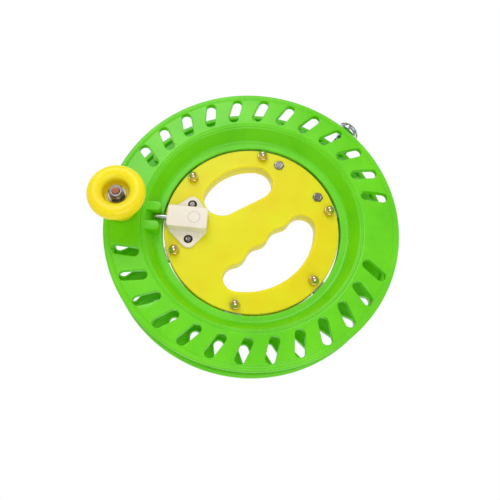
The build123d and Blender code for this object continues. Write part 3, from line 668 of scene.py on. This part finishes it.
def pan_head(radius, height, cross, shank, reach):
    """A pan-head screw whose head stands up from z = 0, with its plain shank below."""
    path = [(0, -reach), (shank, -reach), (shank, 0), (radius - 0.15, 0)]
    path += [(radius * cos(t) ** 0.6, 0.25 * height + 0.75 * height * sin(t))
             for t in [pi / 2 * k / 8 for k in range(8)]]
    path += [(0, height)]
    piece = turned("pan_head", path, 32, closed=False)
    return crossed(piece, cross, height)


def crossed(piece, cross, height):
    """Cuts a cross recess into a head whose top is at the height."""
    for turn in (0.6, 0.6 + pi / 2):
        bpy.ops.object.select_all(action="DESELECT")
        bpy.ops.mesh.primitive_cube_add(size=MM, location=(0, 0, height * MM))
        bar = fresh("bar")
        bar.scale = (cross, cross * 0.26, height * 1.1)
        bar.rotation_euler = (0, 0, turn)
        cut(piece, settle(bar))
    return piece


def flipped(piece):
    """Turns a fastener over, so that its head points down."""
    piece.rotation_euler = (pi, 0, 0)
    return settle(piece)


def fastener(master, places, name, node):
    """A set of one fastener, copied to its places, that stands for the node."""
    return smooth(stand_in(copies(master, places, name), node))


guide_turn = 53
bolt_ring, bolt_angles = 61.3, [guide_turn + a for a in (34, -34, 90, -90, 150, -150)]
eye_pair_ring, eye_pair_angles = 58.2, [guide_turn + a for a in (20.2, -20.2)]
lock_screw_places = [(-46.9, 14.15, 13.5), (-46.9, -14.15, 13.5)]
fastener(dome_nut(), around(bolt_ring, bolt_angles, 12.6), "dome_nuts", "acorn_nuts")
hub_bolt = flipped(pan_head(3.5, 2.6, 3.6, 1.98, 14.2))
fastener(hub_bolt, around(bolt_ring, bolt_angles, 3.4), "hub_bolt_set", "hub_bolts")
guide_bolt = flipped(pan_head(3.5, 2.5, 3.6, 2.0, 12.0))
fastener(guide_bolt, around(eye_pair_ring, eye_pair_angles, 1.4), "guide_bolt_set", "guide_bolts")
rim_screw = flipped(pan_head(2.2, 1.7, 2.3, 1.25, 7.2))
fastener(rim_screw, around(screw_ring, screw_angles, well_floor), "rim_screw_set", "rim_screws")
# The lock's screw heads take the dark finish, which is painted shade for their counterbores.
fastener(pan_head(3.3, 1.2, 3.4, 1.5, 6.4), lock_screw_places, "lock_screw_pair", "lock_screws")
guide_nut = hexagon(7.0, 0, 3.2, 2.02)
fastener(guide_nut, around(eye_pair_ring, eye_pair_angles, 10.2), "guide_nut_pair", "guide_nuts")
print("fasteners done")

# %% [markdown]
# ## Bright caps of the lock's screws
# The dark head round each cap is painted shade for the counterbore that the screw sits in. The middle of
# each head shows the screw's own bright nickel, so a low cap lies over it with the same cross.
# cross.
# %% Bright caps
cap_radius, cap_edge, cap_top, cap_cross = 2.05, 1.28, 1.34, 2.9
cap_outline = rounded([(0, 0.3, 0), (cap_radius, 0.3, 0), (cap_radius, cap_edge, 0.25), (0, cap_top, 0)])
nickel_cap = crossed(turned("nickel_cap", cap_outline, 32, closed=False), cap_cross, cap_top)
caps = copies(nickel_cap, lock_screw_places, "lock_screw_caps")
coat(caps, nickel_steel)
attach(caps, "hub")
smooth(caps)
print("worn caps done")

# %% [markdown]
# ## Knob nut and bolt end
# The locking nut holds the knob. Above its hexagon a round collar grips a plastic ring, and the bolt's
# threaded end stands just proud of it. The thread shows as fine ridges, so the end is turned with four of
# them.
# %% Locking nut and bolt
nut_bore, nut_across, nut_low, nut_top = 3.02, 10.0, 52.15, 56.55
collar_radius, collar_foot, collar_top, collar_dip = 4.6, 55.9, 58.15, 57.8
lock_nut = hexagon(nut_across, nut_low, nut_top, nut_bore)
collar_outline = rounded([
    (nut_bore, collar_foot, 0), (collar_radius, collar_foot, 0), (collar_radius, collar_top, 0.55),
    (3.7, collar_top, 0.2), (3.5, collar_dip, 0), (nut_bore, collar_dip, 0)])
cut(lock_nut, turned("collar", collar_outline, 40), "UNION")
lock_nut.location = Vector(knob_at) * MM
smooth(stand_in(settle(lock_nut), "knob_nut"))
thread_radius, thread_root, thread_start, thread_step = 3.0, 2.72, 55.0, 0.4
head_radius, head_low, head_top, bolt_end = 6.0, 21.2, 23.2, 58.65
bolt_path = [
    (0, head_low), (head_radius - 0.4, head_low), (head_radius, head_low + 0.4), (head_radius, head_top),
    (thread_radius, head_top), (thread_radius, thread_start - 0.1)]
bolt_path += [(thread_radius if k % 2 else thread_root, thread_start + thread_step * k) for k in range(8)]
bolt_path += [(2.45, bolt_end), (0, bolt_end)]
smooth(stand_in(turned("knob_bolt_turned", bolt_path, 40, knob_at, closed=False), "knob_bolt"), 30)
print("knob nut and bolt done")

# %% [markdown]
# ## Line guide ring
# The bright ring that leads the line is turned about its own axis, which points out from the wheel. Its
# mouth is fully rounded, so that the line never meets an edge, and a groove round its outside sits in the
# bracket's hole.
# %% Guide ring
eye_bore, eye_radius, eye_seat, eye_half, seat_half, eye_reach = 3.0, 9.0, 8.3, 3.25, 1.0, 118.7
eye_outline = rounded([
    (eye_bore, -eye_half, 2.4), (eye_radius, -eye_half, 2.2),
    (eye_radius, -seat_half, 0.2), (eye_seat, -seat_half, 0),
    (eye_seat, seat_half, 0), (eye_radius, seat_half, 0.2),
    (eye_radius, eye_half, 2.2), (eye_bore, eye_half, 2.4)], 6)
eye_ring = turned("guide_eye", eye_outline, 64)
eye_ring.rotation_euler = (0, pi / 2, radians(guide_turn))
eye_ring.location = Vector(around(eye_reach, [guide_turn], mid)[0]) * MM
smooth(stand_in(settle(eye_ring), "guide_ring"), 40)
print("guide ring done")

# %% [markdown]
# ## Softened edges
# The discs, the lock and the bracket keep the shape of their nodes in the frame. No moulded or bent edge is
# knife sharp, so a merged copy of each gets a small bevel that catches the light as a thin line, and stands
# for its node. Weighted normals keep the flat faces flat to the eye.
# %% Softened copies
def double_of(name, new_name):
    """A free copy of a node, with its own mesh, that doesn't yet ride on a body."""
    piece = nodes[name].copy()
    piece.data = nodes[name].data.copy()
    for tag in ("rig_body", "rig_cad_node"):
        if tag in piece:
            del piece[tag]
    piece.parent = None
    piece.name = new_name
    bpy.context.scene.collection.objects.link(piece)
    return piece


def soften(name, width, segments=2, angle=32):
    """Stands a copy with bevelled edges in for a node; the width is in millimetres, the angle in degrees."""
    piece = double_of(name, name + "_soft")
    only(piece)
    bpy.ops.object.mode_set(mode="EDIT")
    bpy.ops.mesh.select_all(action="SELECT")
    bpy.ops.mesh.remove_doubles(threshold=0.000002)
    bpy.ops.mesh.dissolve_limited(angle_limit=radians(0.5))
    bpy.ops.object.mode_set(mode="OBJECT")
    apply(piece, "BEVEL", width=width * MM, segments=segments, limit_method="ANGLE",
          angle_limit=radians(angle))
    smooth(stand_in(piece, name), angle)
    apply(piece, "WEIGHTED_NORMAL", keep_sharp=True)
    return piece


edge_of = {
    "front_disc": 0.25, "rear_disc": 0.25, "lock_housing": 0.3, "lock_button": 0.15,
    "guide_bracket": 0.2, "knob_washer": 0.1, "knob_base_washer": 0.1, "lock_pin": 0.2,
}
for name, width in edge_of.items():
    piece = soften(name, width)
    print(piece.name, len(piece.data.polygons), "faces")

# %% [markdown]
# ## Lock spring
# The spring pushes the slider out; on the real lock it shortens when the button draws the slider back.
# Here it is a copy of its node with a mesh of its own, and it keeps one length.
# %% Lock spring
spring = smooth(stand_in(double_of("lock_spring", "lock_spring_coil"), "lock_spring"), 35)
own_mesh(spring)

# %% [markdown]
# ## Floor
# The background is plain white. The floor shows white to the camera and to reflections, so the object has
# no shadow on it, and to all other light it is a pale matt surface that glows a little, as a light table
# does.
# %% Floor
floor_glow = 0.40
floor_size, floor_gap = 6.0, 0.0002     # metres
floor_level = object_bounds()[0][2]
bpy.ops.mesh.primitive_plane_add(size=floor_size, location=(0, 0, floor_level - floor_gap))
floor = bpy.context.object
floor.name = "floor"
pale, tree = new_finish("floor_pale")
ray = add(tree, "ShaderNodeLightPath")
seen = add(tree, "ShaderNodeMath", {
    0: ray.outputs["Is Glossy Ray"], 1: ray.outputs["Is Transmission Ray"]}, operation="MAXIMUM")
rest = add(tree, "ShaderNodeMath", {0: seen.outputs[0], 1: floor_glow}, operation="MAXIMUM")
white = add(tree, "ShaderNodeMath", {
    0: ray.outputs["Is Camera Ray"], 1: rest.outputs[0]}, operation="MAXIMUM")
matt = add(tree, "ShaderNodeBsdfDiffuse", {"Color": linear("#F2F2F0")})
glow = add(tree, "ShaderNodeEmission", {"Color": (1, 1, 1, 1), "Strength": 1.0})
both = add(tree, "ShaderNodeMixShader", {0: white.outputs[0], 1: matt.outputs[0], 2: glow.outputs[0]})
add(tree, "ShaderNodeOutputMaterial", {"Surface": both.outputs[0]})
floor.data.materials.append(pale)
print("floor at", floor_level)

# %% [markdown]
# ## Lamps and world
# Two wide lamps, one behind the object and one in front, and a white world give soft light at a plain
# level. The world is white to the camera, and dimmer in reflections and in its own light, so that colours
# stay full.
# %% Lamps and world
world_light, world_in_gloss, world_to_camera = 0.60, 0.38, 1.0
wheel_middle = (0, 0, 0)


def lamp(name, place, aim, size, watts):
    """A square lamp at a place in metres, turned towards its aim."""
    bpy.ops.object.light_add(type="AREA", location=place)
    item = bpy.context.object
    item.name = name
    item.data.shape = "SQUARE"
    item.data.size = size
    item.data.energy = watts
    item.rotation_euler = (Vector(aim) - Vector(place)).to_track_quat("-Z", "Y").to_euler()
    return item


lamp("key", (-0.25, 0.60, 0.85), wheel_middle, 0.6, 3.4)
lamp("fill", (0.20, -0.55, 0.85), wheel_middle, 0.8, 3.2)
world = bpy.data.worlds.new("studio")
bpy.context.scene.world = world
world.use_nodes = True
tree = world.node_tree
tree.nodes.clear()
ray = add(tree, "ShaderNodeLightPath")
dim = add(tree, "ShaderNodeMix", {
    "Factor": ray.outputs["Is Glossy Ray"], "A": world_light, "B": world_in_gloss}, data_type="FLOAT")
level = add(tree, "ShaderNodeMix", {
    "Factor": ray.outputs["Is Camera Ray"], "A": dim.outputs["Result"], "B": world_to_camera},
    data_type="FLOAT")
sky = add(tree, "ShaderNodeBackground", {"Color": (1, 1, 1, 1), "Strength": level.outputs["Result"]})
add(tree, "ShaderNodeOutputWorld", {"Surface": sky.outputs[0]})
bpy.context.scene.view_settings.view_transform = "Standard"
print("world and lamps are set")

# %% [markdown]
# ## The end
# The view layer is brought up to date.
# %% The end
bpy.context.view_layer.update()
